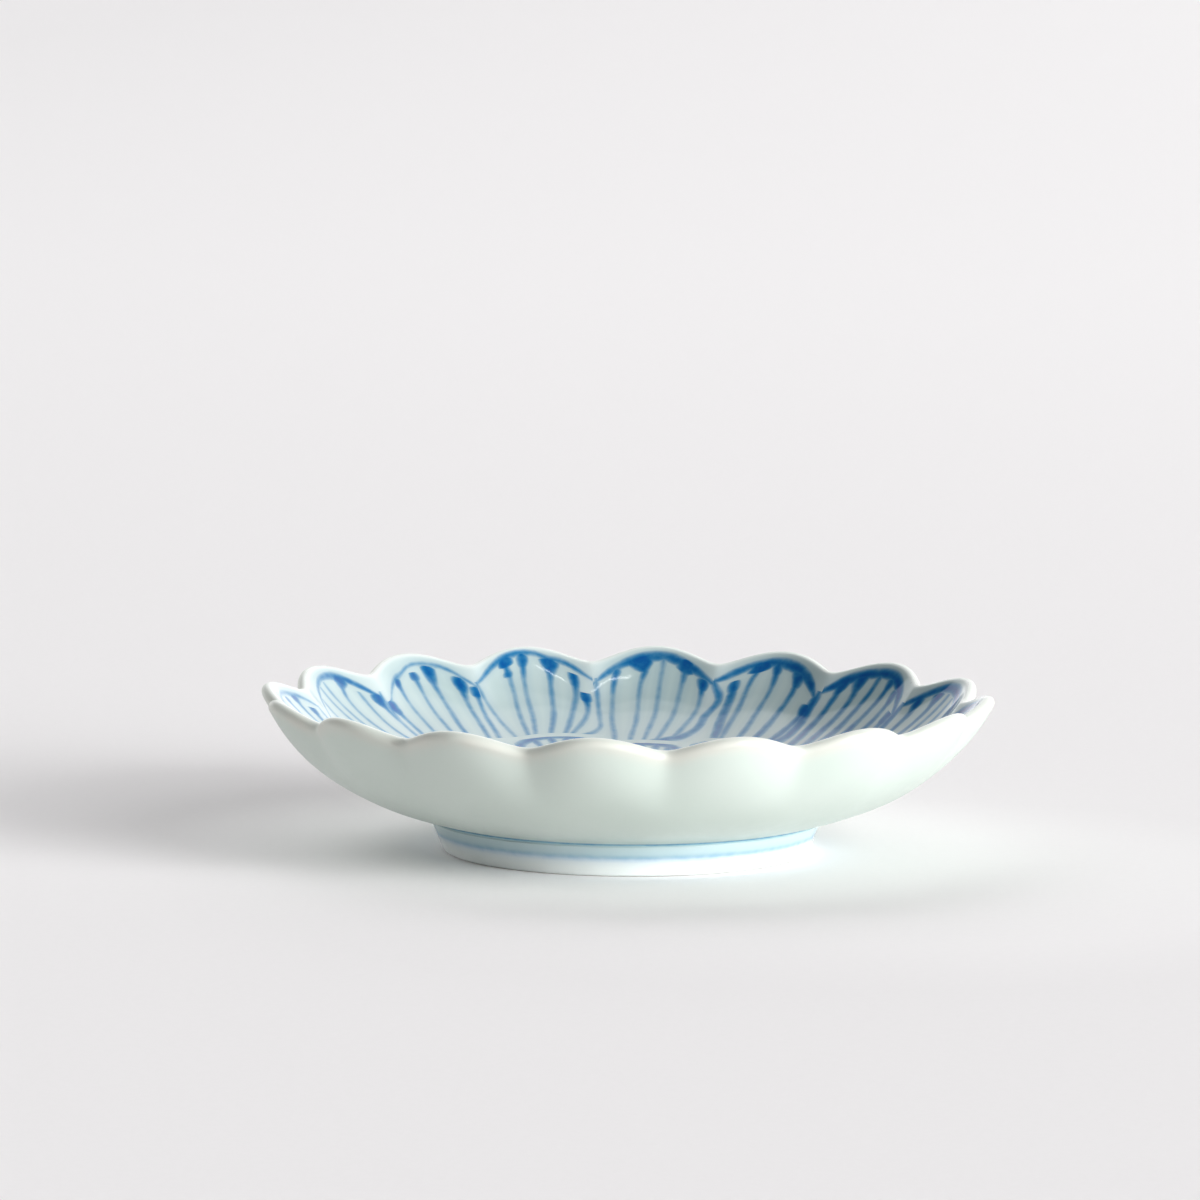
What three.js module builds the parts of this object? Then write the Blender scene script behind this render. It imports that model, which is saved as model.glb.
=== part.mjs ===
// Porcelain sauce dish shaped as a chrysanthemum: a moulded bowl of sixteen petals, luted on a foot ring.
// Millimetres, +Z up. The origin is on the table under the middle of the dish, with a petal towards -Y.
import * as THREE from "three";

// Bowl
const PETALS = 16;
const RIM_RADIUS = 50; // axis to the tip of a petal
const HEIGHT = 21.9; // table to the tip of a petal
const NOTCH_INSET = 2.7; // how far the rim steps in between two petals
const NOTCH_DROP = 1.95; // how far the rim dips there
const LIP_THICKNESS = 1.8; // wall at the rounded lip
const FLOOR_THICKNESS = 3.1; // flat floor of the well
const WELL_BLEND = 9; // radial run over which the wall flattens into the floor
const RISE_AT_FOOT = THREE.MathUtils.degToRad(13); // slope of the outer wall where it leaves the foot
const RISE_AT_RIM = THREE.MathUtils.degToRad(63); // slope of the outer wall under the lip
const FULLNESS_AT_FOOT = 15.4; // how far the wall holds its first slope
const FULLNESS_AT_RIM = 5.3; // how far it holds its last slope
const CREASE_AT_RIM = 0.3; // softness of the crease between two petals at the lip
const CREASE_AT_FOOT = 1.4; // softness there at the foot, where the petals are a slow wave

// Foot ring and the bed of slip that lutes it to the bowl
const FOOT_RADIUS = 26.6; // outside of the ring, where it meets the bowl
const FOOT_HEIGHT = 4.6; // table to the underside of the bowl
const FOOT_WIDTH = 5; // wall of the ring under the bowl
const FOOT_TAPER_OUTSIDE = 1.7; // how far the ring's outside leans in towards the table
const FOOT_TAPER_INSIDE = 0.5; // how far its inside leans out towards the table
const FOOT_ROUND = 0.45; // how far both edges round in at the table, and up the sides
const SLIP_THICKNESS = 0.4;

// Fineness of the facets
const STEPS_PER_PETAL = 8;
const WALL_STEPS = 9;
const LIP_STEPS = 5;
const BLEND_STEPS = 3;
const EDGE_STEPS = 4;
const FOOT_SEGMENTS = 96;

const porcelain = new THREE.MeshStandardMaterial({ color: 0xdfe8e4, roughness: 0.12, metalness: 0 });
const footPorcelain = new THREE.MeshStandardMaterial({ color: 0xe9eeec, roughness: 0.2, metalness: 0 });
const firedSlip = new THREE.MeshStandardMaterial({ color: 0xf0ece4, roughness: 0.7, metalness: 0 });

// Half section of the bowl through one direction, from the axis underneath, out along the wall,
// over the lip and back in to the axis above. x is the radius and y the height.
// The lip's centre stands in by `inset` and down by `drop` from its place at a petal's tip.
function bowlSection(inset, drop) {
  const lipRadius = LIP_THICKNESS / 2;
  const lipCentre = new THREE.Vector2(RIM_RADIUS - lipRadius - inset, HEIGHT - lipRadius - drop);
  const wallStart = new THREE.Vector2(FOOT_RADIUS, FOOT_HEIGHT);
  const alongFoot = new THREE.Vector2(Math.cos(RISE_AT_FOOT), Math.sin(RISE_AT_FOOT));
  const alongRim = new THREE.Vector2(Math.cos(RISE_AT_RIM), Math.sin(RISE_AT_RIM));
  const wallEnd = lipCentre.clone().add(new THREE.Vector2(alongRim.y, -alongRim.x).multiplyScalar(lipRadius));
  const outerWall = new THREE.CubicBezierCurve(
    wallStart,
    wallStart.clone().addScaledVector(alongFoot, FULLNESS_AT_FOOT),
    wallEnd.clone().addScaledVector(alongRim, -FULLNESS_AT_RIM),
    wallEnd,
  );

  // The inner wall runs beside the outer one, thinning from the foot to the lip.
  const blendDrop = (WELL_BLEND / 2) * Math.tan(RISE_AT_FOOT);
  const wallAtFoot = (FLOOR_THICKNESS + blendDrop) / Math.cos(RISE_AT_FOOT);
  const innerWall = [];
  for (let step = 0; step <= WALL_STEPS; step++) {
    const t = step / WALL_STEPS;
    const along = outerWall.getTangent(t);
    const thickness = THREE.MathUtils.lerp(wallAtFoot, LIP_THICKNESS, t);
    innerWall.push(outerWall.getPoint(t).add(new THREE.Vector2(-along.y, along.x).multiplyScalar(thickness)));
  }

  const lip = [];
  for (let step = 1; step < LIP_STEPS; step++) {
    const angle = RISE_AT_RIM - Math.PI / 2 + (Math.PI * step) / LIP_STEPS;
    lip.push(new THREE.Vector2(Math.cos(angle), Math.sin(angle)).multiplyScalar(lipRadius).add(lipCentre));
  }

  const wellEdge = innerWall[0];
  const floorHeight = FOOT_HEIGHT + FLOOR_THICKNESS;
  const blend = new THREE.QuadraticBezierCurve(
    wellEdge,
    new THREE.Vector2(wellEdge.x - WELL_BLEND / 2, floorHeight),
    new THREE.Vector2(wellEdge.x - WELL_BLEND, floorHeight),
  );

  return [
    new THREE.Vector2(0, FOOT_HEIGHT),
    ...outerWall.getPoints(WALL_STEPS),
    ...lip,
    ...innerWall.reverse(),
    ...blend.getPoints(BLEND_STEPS).slice(1),
    new THREE.Vector2(0, floorHeight),
  ];
}

// Share of the way from a notch to a petal's tip at an angle about the axis: a scallop with a crease at each notch,
// which softens from the lip down to the foot.
function petalArch(angle, height) {
  const fall = (HEIGHT - height) / (HEIGHT - FOOT_HEIGHT);
  const crease = THREE.MathUtils.lerp(CREASE_AT_RIM, CREASE_AT_FOOT, fall);
  const soften = (wave) => Math.hypot(wave, crease) - crease;
  return soften(Math.cos((angle * PETALS) / 2)) / soften(1);
}

// A revolve whose section swings between the one through the petals' tips and the one through the notches.
function petalBowl() {
  const tip = bowlSection(0, 0);
  const notch = bowlSection(NOTCH_INSET, NOTCH_DROP);
  const segments = PETALS * STEPS_PER_PETAL;
  const geometry = new THREE.LatheGeometry(tip, segments);
  const position = geometry.getAttribute("position");
  for (let segment = 0; segment <= segments; segment++) {
    const angle = (segment / segments) * Math.PI * 2;
    tip.forEach((tipPoint, row) => {
      const point = notch[row].clone().lerp(tipPoint, petalArch(angle, tipPoint.y));
      position.setXYZ(segment * tip.length + row, point.x * Math.sin(angle), point.y, point.x * Math.cos(angle));
    });
  }
  return geometry.rotateX(Math.PI / 2);
}

// Turned ring, flat on top under the slip and on the narrow face that meets the table.
function footRing() {
  const top = FOOT_HEIGHT - SLIP_THICKNESS;
  const inside = FOOT_RADIUS - FOOT_WIDTH;
  const outsideFoot = FOOT_RADIUS - FOOT_TAPER_OUTSIDE;
  const insideFoot = inside + FOOT_TAPER_INSIDE;
  const roundUp = FOOT_ROUND / top; // share of the side that the rounded edge takes
  const outerEdge = new THREE.QuadraticBezierCurve(
    new THREE.Vector2(outsideFoot - FOOT_ROUND, 0),
    new THREE.Vector2(outsideFoot, 0),
    new THREE.Vector2(outsideFoot + FOOT_TAPER_OUTSIDE * roundUp, FOOT_ROUND),
  );
  const innerEdge = new THREE.QuadraticBezierCurve(
    new THREE.Vector2(insideFoot - FOOT_TAPER_INSIDE * roundUp, FOOT_ROUND),
    new THREE.Vector2(insideFoot, 0),
    new THREE.Vector2(insideFoot + FOOT_ROUND, 0),
  );
  const section = [
    ...outerEdge.getPoints(EDGE_STEPS),
    new THREE.Vector2(FOOT_RADIUS, top),
    new THREE.Vector2(inside, top),
    ...innerEdge.getPoints(EDGE_STEPS),
  ];
  return turned([...section, section[0]]);
}

// Flat bed of slip, as wide as the ring, between the ring and the bowl.
function lutingSlip() {
  const inside = FOOT_RADIUS - FOOT_WIDTH;
  const bottom = FOOT_HEIGHT - SLIP_THICKNESS;
  const section = [
    new THREE.Vector2(FOOT_RADIUS, bottom),
    new THREE.Vector2(FOOT_RADIUS, FOOT_HEIGHT),
    new THREE.Vector2(inside, FOOT_HEIGHT),
    new THREE.Vector2(inside, bottom),
  ];
  return turned([...section, section[0]]);
}

// A closed section of radius and height, revolved about +Z.
function turned(section) {
  return new THREE.LatheGeometry(section, FOOT_SEGMENTS).rotateX(Math.PI / 2);
}

function piece(name, geometry, material) {
  const mesh = new THREE.Mesh(geometry, material);
  mesh.name = name;
  return mesh;
}

const dish = new THREE.Group();
dish.add(
  piece("petal_bowl", petalBowl(), porcelain),
  piece("foot_ring", footRing(), footPorcelain),
  piece("luting_slip", lutingSlip(), firedSlip),
);

export default dish;
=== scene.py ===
"""Dresses the porcelain sauce dish: a moulded bowl of sixteen petals, its foot ring and the seam of slip between.

Sizes are in millimetres, as in the part's source, and go into the meshes in metres. The painting inside the bowl is
worked out as distances from brush marks and kept in the mesh as attributes, which the glaze's material reads.
"""
from __future__ import annotations

import logging
import math
from dataclasses import dataclass, replace
from enum import Enum

import bpy
import numpy as np
from mathutils import Matrix, Vector
from numpy.typing import NDArray


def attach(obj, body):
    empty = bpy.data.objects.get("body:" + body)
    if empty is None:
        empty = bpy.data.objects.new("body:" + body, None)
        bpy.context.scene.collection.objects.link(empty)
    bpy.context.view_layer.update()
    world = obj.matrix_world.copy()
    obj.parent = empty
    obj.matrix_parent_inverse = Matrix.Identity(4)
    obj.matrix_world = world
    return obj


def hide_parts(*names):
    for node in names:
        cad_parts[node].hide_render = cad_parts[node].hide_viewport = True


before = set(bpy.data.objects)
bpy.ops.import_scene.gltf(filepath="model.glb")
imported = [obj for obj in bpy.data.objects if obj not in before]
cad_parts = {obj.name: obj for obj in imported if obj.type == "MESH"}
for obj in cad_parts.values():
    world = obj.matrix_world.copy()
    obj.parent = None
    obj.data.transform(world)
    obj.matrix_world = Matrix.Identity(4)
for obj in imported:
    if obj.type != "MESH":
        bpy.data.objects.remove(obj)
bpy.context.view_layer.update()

MM = 0.001
NO_MARK = -9.0
GLAZE_IOR = 1.5
RIPPLE_HEIGHT = 0.2
SEED = 16

Array = NDArray[np.float64]
Colour = tuple[float, float, float, float]
Socket = bpy.types.NodeSocket
log = logging.getLogger("sauce_dish")


# Small sums

def srgb(red: float, green: float, blue: float) -> Colour:
    """Turns a colour of 0 to 255 steps into the linear one that shaders take.

    Args:
        red: Red step.
        green: Green step.
        blue: Blue step.

    Returns:
        Linear red, green and blue, with an alpha of one.
    """
    steps = np.array([red, green, blue]) / 255.0
    linear = np.where(steps <= 0.04045, steps / 12.92, ((steps + 0.055) / 1.055) ** 2.4)
    return (float(linear[0]), float(linear[1]), float(linear[2]), 1.0)


def ease(value: Array, low: float, high: float) -> Array:
    """Rises smoothly from 0 where value is low to 1 where it is high, as 3s^2 - 2s^3.

    Args:
        value: Where to take the rise.
        low: Value at which it starts.
        high: Value at which it ends.

    Returns:
        Shares from 0 to 1, in the shape of value.
    """
    share = np.clip((value - low) / (high - low), 0.0, 1.0)
    return share * share * (3.0 - 2.0 * share)


def bezier(controls: list[tuple[float, float]], share: Array) -> Array:
    """Points of a Bezier curve, by Bernstein's weights of its control points.

    Args:
        controls: Control points as radius and height.
        share: Shares of the way along the curve, from 0 to 1.

    Returns:
        One row of radius and height for each share.
    """
    degree = len(controls) - 1
    weights = [math.comb(degree, i) * share ** i * (1.0 - share) ** (degree - i) for i in range(degree + 1)]
    return np.stack(weights, axis=1) @ np.array(controls)


def straight(start: tuple[float, float], end: tuple[float, float], share: Array) -> Array:
    """Points of a straight run from start to end at the given shares of the way."""
    return bezier([start, end], share)


def direction(turned: float, raised: float) -> Vector:
    """The direction turned from the front towards the right, and raised, in degrees."""
    around, up = math.radians(turned), math.radians(raised)
    return Vector((math.sin(around) * math.cos(up), -math.cos(around) * math.cos(up), math.sin(up)))


# Meshes on a grid

class Ends(Enum):
    """How the first and last rows of a turned grid close."""

    POLES = "poles"
    JOINED = "joined"


def ring_faces(left: Array, right: Array, ends: Ends) -> list[Array]:
    """Corners of the faces between neighbouring rows of a turned grid, outwards.

    Each face runs from a row's left and right corner to the next row's right and left one. At a pole the two corners
    on it are one, so the face is a triangle.

    Args:
        left: Number of each face's left corner, by row and column.
        right: Number of its right corner.
        ends: How the first and last rows close.

    Returns:
        Blocks of faces, each an array with one face a row.
    """
    if ends is Ends.JOINED:
        left = np.vstack([left, left[:1]])
        right = np.vstack([right, right[:1]])
    faces = np.stack([left[:-1], right[:-1], right[1:], left[1:]], axis=-1)
    if ends is Ends.JOINED:
        return [faces.reshape(-1, 4)]
    return [faces[0][:, [0, 2, 3]], faces[1:-1].reshape(-1, 4), faces[-1][:, [0, 1, 2]]]


def turned_mesh(name: str, points: Array, ends: Ends) -> bpy.types.Object:
    """Makes an object from a grid of points whose columns run round the axis.

    Args:
        name: Name of the piece.
        points: Rows by columns by place, in millimetres. At a pole all points of a row are alike.
        ends: How the first and last rows close.

    Returns:
        The new object, at the origin, with smooth faces.
    """
    rows, columns = points.shape[:2]
    left = np.arange(rows * columns).reshape(rows, columns)
    if ends is Ends.POLES:
        left = left - (columns - 1)
        left[0] = 0
        left[-1] = left[-2].max() + 1
        places = np.vstack([points[0, :1], points[1:-1].reshape(-1, 3), points[-1, :1]])
    else:
        places = points.reshape(-1, 3)
    faces = [face for block in ring_faces(left, np.roll(left, -1, axis=1), ends) for face in block.tolist()]
    mesh = bpy.data.meshes.new(name)
    mesh.from_pydata((places * MM).tolist(), [], faces)
    mesh.polygons.foreach_set("use_smooth", np.ones(len(faces), dtype=bool))
    mesh.update()
    piece = bpy.data.objects.new(name, mesh)
    bpy.context.scene.collection.objects.link(piece)
    return piece


def turn(section: Array, columns: int) -> Array:
    """Revolves a section about the axis.

    At an angle a from the front the place is (r sin a, -r cos a, z).

    Args:
        section: One row of radius and height for each point of the section.
        columns: Number of steps round the axis.

    Returns:
        Rows by columns by place.
    """
    angle = np.linspace(0.0, 2.0 * np.pi, columns, endpoint=False)
    radius = section[:, :1]
    height = np.broadcast_to(section[:, 1:], (len(section), columns))
    return np.stack([radius * np.sin(angle), -radius * np.cos(angle), height], axis=-1)


def keep_on_corners(piece: bpy.types.Object, name: str, values: Array) -> None:
    """Keeps one vector for each face corner of a piece as a mesh attribute.

    Args:
        piece: The piece.
        name: Name of the attribute.
        values: One row of three for each corner.
    """
    attribute = piece.data.attributes.new(name, "FLOAT_VECTOR", "CORNER")
    attribute.data.foreach_set("vector", np.ascontiguousarray(values, dtype=np.float32).ravel())


# Brush marks of the painting

class Head(Enum):
    """How the brush is set down at the top of a vein."""

    NONE = "none"
    POOL = "pool"
    BLOCK = "block"
    DROP = "drop"
    LONG = "long"


@dataclass(frozen=True)
class Vein:
    """One vein of a petal: across from -0.5 at its left to 0.5 at its right, seen from inside, and down in mm.

    The drift is how far its line moves sideways below the head. The skew is how far the head stands to the left of
    its vein, in half widths of the head.
    """

    at: float
    head: Head
    start: float
    width: float = 0.0
    length: float = 1.0
    line: float = 0.5
    load: float = 0.85
    drift: float = 0.0
    skew: float = 0.0

    def mirrored(self) -> Vein:
        """The same vein on the other side of the petal."""
        return replace(self, at=-self.at, drift=-self.drift, skew=-self.skew)


@dataclass(frozen=True)
class Arch:
    """The outline along a petal's top: where it peaks, how far it spans each way, its width and load.

    The gap is its peak's distance below the lip, and heavy how much more colour its right half carries.
    """

    peak: float
    left: float
    right: float
    width: float
    load: float
    gap: float = 0.5
    steep: float = 4.0
    heavy: float = 0.0
    dip_at: float = 0.0
    dip: float = 0.0

    def mirrored(self) -> Arch:
        """The same outline the other way round."""
        return replace(self, peak=-self.peak, left=self.right, right=self.left, dip_at=-self.dip_at, heavy=0.0)


@dataclass(frozen=True)
class Side:
    """The line between a petal and its right neighbour: where it runs, bulges, turns in and ends, width and load.

    The top is how far below the lip it starts, and the lean how far it has moved to the right at the petal's end.
    """

    at: float = 0.5
    bulge: float = 0.0
    turn: float = 13.0
    base: float = 0.3
    width: float = 0.5
    load: float = 0.9
    top: float = 2.0
    lean: float = 0.0


@dataclass(frozen=True)
class PaintedPetal:
    """The brush marks of one petal, which ends some way below the lip, and how its veins lean and gather there."""

    arch: Arch
    side: Side
    end: float
    lean: float
    gather: float
    veins: tuple[Vein, ...]

    def mirrored(self) -> PaintedPetal:
        """The same petal painted the other way round, with its side line still on the right."""
        veins = tuple(vein.mirrored() for vein in self.veins)
        return replace(self, arch=self.arch.mirrored(), lean=-self.lean, veins=veins)


@dataclass(frozen=True)
class Mark:
    """A brush mark on the grid of one petal: distance from its middle line, half width and load of colour."""

    offset: Array
    half: Array
    load: Array

    def over(self, other: Mark) -> Mark:
        """This mark, or the other one where that reaches further."""
        less = self.half - np.abs(self.offset) < other.half - np.abs(other.offset)
        return Mark(np.where(less, other.offset, self.offset), np.where(less, other.half, self.half),
                    np.where(less, other.load, self.load))


LEFT_EDGE = PaintedPetal(Arch(0.25, 0.42, 0.27, 0.45, 1.0, 1.0, 3.0), Side(load=0.5), 17.2, 0.1, 0.0, (
    Vein(-0.28, Head.LONG, 2.6, 0.8, 2.0, 0.45, 0.6),
    Vein(-0.1, Head.NONE, 2.5, line=0.42, load=0.55),
    Vein(0.09, Head.LONG, 1.8, 0.7, 1.4, 0.42, 0.55),
    Vein(0.25, Head.POOL, 1.2, 1.6, 1.8, 0.45, 0.7),
    Vein(0.38, Head.LONG, 2.5, 0.8, 2.0, 0.45, 0.7),
))
LEFT_BACK = PaintedPetal(Arch(0.05, 0.36, 0.45, 0.55, 1.3, 1.1, 2.5, 0.8), Side(load=0.6), 17.2, 0.1, 0.0, (
    Vein(-0.28, Head.NONE, 2.8, line=0.4, load=0.55),
    Vein(-0.14, Head.NONE, 2.0, line=0.42, load=0.6),
    Vein(-0.04, Head.NONE, 1.8, line=0.42, load=0.6),
    Vein(0.16, Head.POOL, 1.0, 2.5, 2.4, 0.42, 0.6, -0.07),
    Vein(0.29, Head.NONE, 3.0, line=0.45, load=0.7),
    Vein(0.45, Head.LONG, 2.6, 1.8, 3.6, 0.5, 1.0, 0.03),
))
BACK_LEFT = PaintedPetal(Arch(0.2, 0.5, 0.3, 0.42, 1.0, 0.9, 2.5, 0.0, -0.13, 0.5),
                         Side(0.5, 0.0, 17.0, 0.5, 0.5, 0.6, 2.0, 0.1), 17.2, -0.07, 0.0, (
    Vein(-0.45, Head.LONG, 4.2, 1.6, 4.0, 0.5, 0.75, 0.06),
    Vein(-0.22, Head.LONG, 2.4, 0.9, 1.6, 0.42, 0.5),
    Vein(-0.02, Head.DROP, 2.3, 0.9, 1.7, 0.42, 0.55),
    Vein(0.14, Head.POOL, 1.1, 1.8, 4.0, 0.5, 0.7),
    Vein(0.36, Head.LONG, 1.7, 1.5, 3.4, 0.5, 0.7),
    Vein(0.47, Head.BLOCK, 3.0, 1.4, 2.4, 0.5, 0.7),
))
BACK_NEAR_LEFT = PaintedPetal(Arch(0.03, 0.52, 0.46, 0.6, 1.6, 0.25, 2.6, 0.0, 0.17, 0.5),
                              Side(0.53, 0.0, 13.5, 0.35, 0.5, 0.8), 17.2, -0.13, 0.25, (
    Vein(-0.18, Head.BLOCK, 0.4, 2.2, 1.7, 0.5, 0.55),
    Vein(-0.19, Head.DROP, 2.7, 0.9, 1.2, 0.0, 0.55),
    Vein(-0.04, Head.LONG, 0.3, 1.1, 2.6, 0.5, 0.5, -0.015),
    Vein(0.165, Head.POOL, 0.9, 2.5, 3.0, 0.5, 0.72),
    Vein(0.35, Head.LONG, 1.9, 0.8, 3.2, 0.55, 0.62),
    Vein(0.43, Head.DROP, 5.0, 1.3, 2.6, 0.5, 0.7, 0.02),
))
BACK_MIDDLE = PaintedPetal(Arch(-0.02, 0.47, 0.55, 1.1, 1.5, 1.1, 4.0, 0.5),
                           Side(0.5, 0.08, 9.0, 0.08, 0.8, 1.5), 19.6, -0.075, 0.25, (
    Vein(-0.3, Head.LONG, 1.6, 0.7, 2.2, 0.55, 0.48, -0.05),
    Vein(-0.04, Head.POOL, 0.9, 4.4, 2.8, 0.5, 0.48, -0.07, 1.0),
    Vein(0.06, Head.NONE, 0.9, line=0.5, load=0.48),
    Vein(0.24, Head.BLOCK, 0.5, 2.6, 2.3, 0.5, 0.48),
    Vein(0.42, Head.LONG, 2.2, 1.4, 2.6, 0.5, 0.55),
))
BACK_NEAR_RIGHT = PaintedPetal(Arch(-0.1, 0.5, 0.5, 1.2, 2.2, 1.25, 3.2, 0.3),
                               Side(0.48, -0.02, 14.0, 0.35, 1.0, 2.6, 2.6), 17.8, -0.02, 0.2, (
    Vein(-0.33, Head.DROP, 3.0, 1.1, 2.4, 0.95, 1.3),
    Vein(-0.14, Head.BLOCK, 0.9, 3.1, 1.8, 0.5, 0.8, -0.08),
    Vein(-0.01, Head.LONG, 1.0, 0.9, 2.6, 0.5, 0.9),
    Vein(0.2, Head.POOL, 1.9, 2.4, 3.0, 0.5, 1.3),
    Vein(0.42, Head.LONG, 6.0, 1.6, 3.2, 0.5, 1.6),
))
BACK_RIGHT = PaintedPetal(Arch(-0.1, 0.44, 0.45, 1.2, 3.6, 1.2, 3.2, 0.3),
                          Side(0.48, -0.02, 14.0, 0.35, 0.9, 2.4, 2.4), 17.5, 0.0, 0.05, (
    Vein(-0.34, Head.POOL, 1.5, 1.8, 2.6, 0.6, 1.9, -0.04),
    Vein(-0.2, Head.POOL, 1.3, 2.2, 3.2, 0.55, 1.9),
    Vein(-0.05, Head.NONE, 1.5, line=0.45, load=2.0),
    Vein(0.1, Head.LONG, 1.6, 0.9, 2.4, 0.45, 2.0),
    Vein(0.25, Head.LONG, 2.6, 1.0, 3.0, 0.45, 2.0),
    Vein(0.39, Head.BLOCK, 5.0, 1.3, 3.4, 0.55, 1.9),
))
RIGHT_BACK = PaintedPetal(Arch(-0.12, 0.42, 0.45, 1.3, 3.2, 1.2, 3.0, 0.1),
                          Side(0.48, -0.02, 14.0, 0.35, 0.9, 2.4, 2.4), 17.5, 0.0, 0.05, (
    Vein(-0.36, Head.LONG, 1.6, 1.3, 3.0, 0.6, 2.2),
    Vein(-0.17, Head.POOL, 1.8, 2.0, 3.0, 0.55, 2.2),
    Vein(-0.04, Head.NONE, 2.0, line=0.45, load=1.9),
    Vein(0.09, Head.NONE, 2.4, line=0.45, load=1.9),
    Vein(0.25, Head.POOL, 2.8, 1.4, 2.6, 0.5, 2.0),
    Vein(0.42, Head.LONG, 4.5, 1.0, 2.6, 0.55, 2.0),
))


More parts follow.
